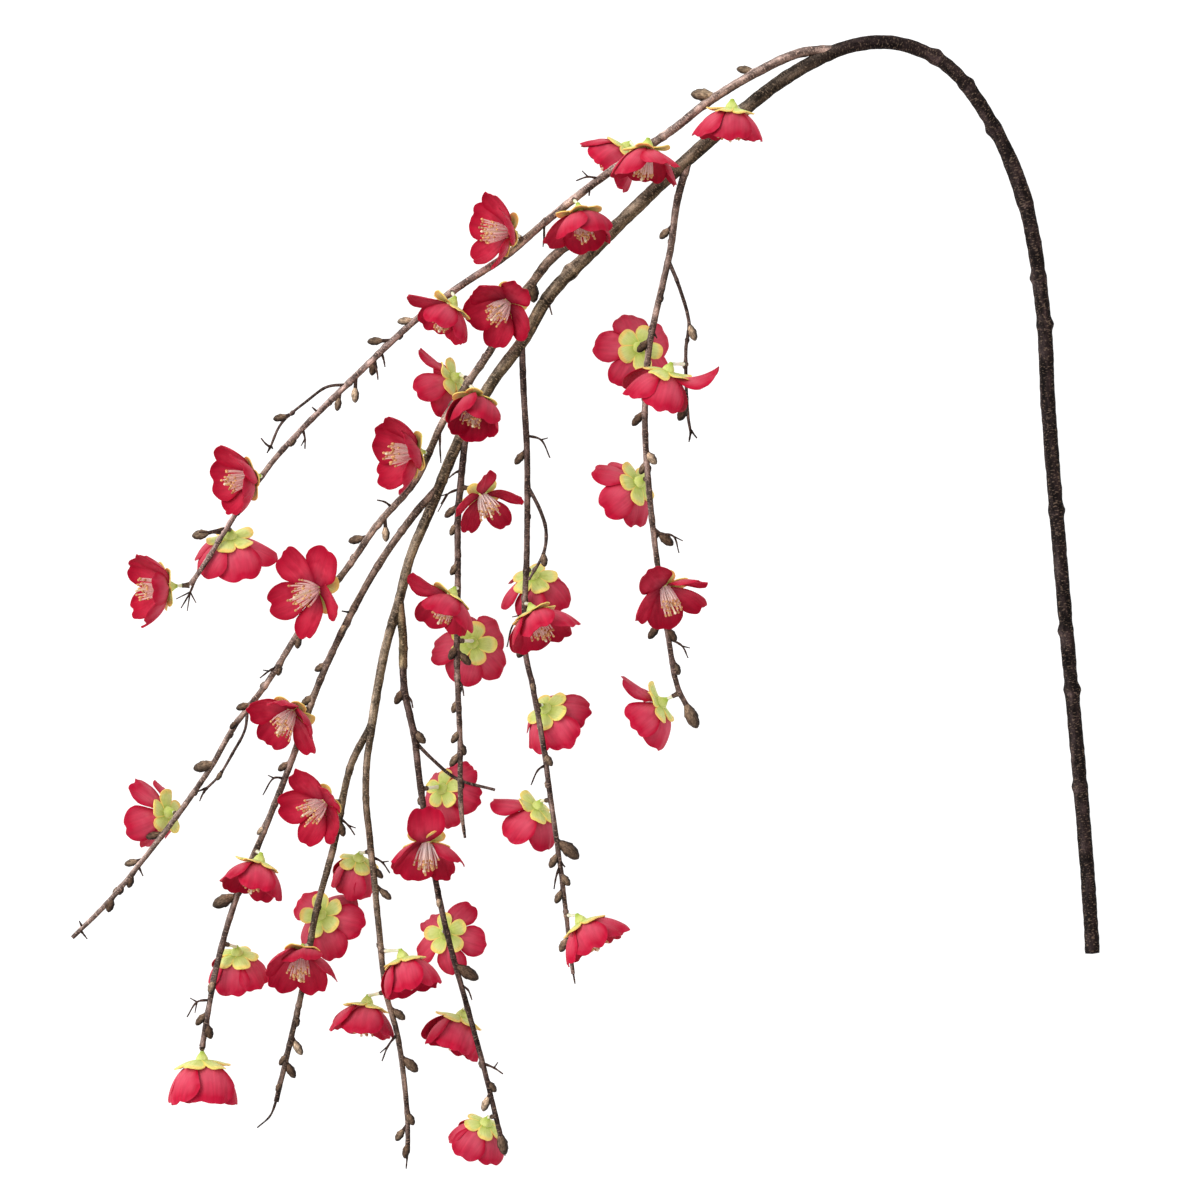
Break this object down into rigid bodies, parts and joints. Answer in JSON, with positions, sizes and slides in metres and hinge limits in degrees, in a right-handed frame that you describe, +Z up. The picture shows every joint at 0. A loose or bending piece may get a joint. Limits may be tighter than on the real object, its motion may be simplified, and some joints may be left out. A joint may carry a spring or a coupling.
{
  "type": "weeping plum blossom branch",
  "caption": "Cut weeping plum branch lying down: an arching stem whose thin shoots trail in long lines with open red blossoms and small buds.",
  "frame": {"origin": "on the resting surface, under the middle of the part's box", "axes": "+Z up from the surface it lies on; +Y from the hanging shoot tips toward the top of the arch; +X toward the bare lower stem"},
  "size_m": [0.4641, 0.5101, 0.0706],
  "materials": {
    "bark": "matt brown bark, darker on the stem and tan on the shoots",
    "petal": "thin crimson petal cloth, paler on its back",
    "calyx": "satin yellow-green calyx lobes",
    "stamen": "pinkish white filaments with pale yellow tips",
    "pedicel": "whitish green flower stalk",
    "bud": "brown bud scales with tan edges"
  },
  "bodies": {
    "root": {"branch": "bark", "bloom_01": "petal", "bloom_02": "petal", "bloom_03": "petal", "bloom_04": "petal", "bloom_05": "petal", "bloom_06": "petal", "bloom_07": "petal", "bloom_08": "petal", "bloom_09": "petal", "bloom_10": "petal", "bloom_11": "petal", "bloom_12": "petal", "bloom_13": "petal", "bloom_14": "petal", "bloom_15": "petal", "bloom_16": "petal", "bloom_17": "petal", "bloom_18": "petal", "bloom_19": "petal", "bloom_20": "petal", "bloom_21": "petal", "bloom_22": "petal", "bloom_23": "petal", "bloom_24": "petal", "bloom_25": "petal", "bloom_26": "petal", "bloom_27": "petal", "bloom_28": "petal", "bloom_29": "petal", "bloom_30": "petal", "bloom_31": "petal", "bloom_32": "petal", "bloom_33": "petal", "bloom_34": "petal", "bloom_35": "petal", "bloom_36": "petal", "bloom_37": "petal", "bloom_38": "petal", "bloom_39": "petal", "bloom_40": "petal", "bloom_41": "petal", "bloom_42": "petal", "bloom_43": "petal"}
  },
  "joints": []
}
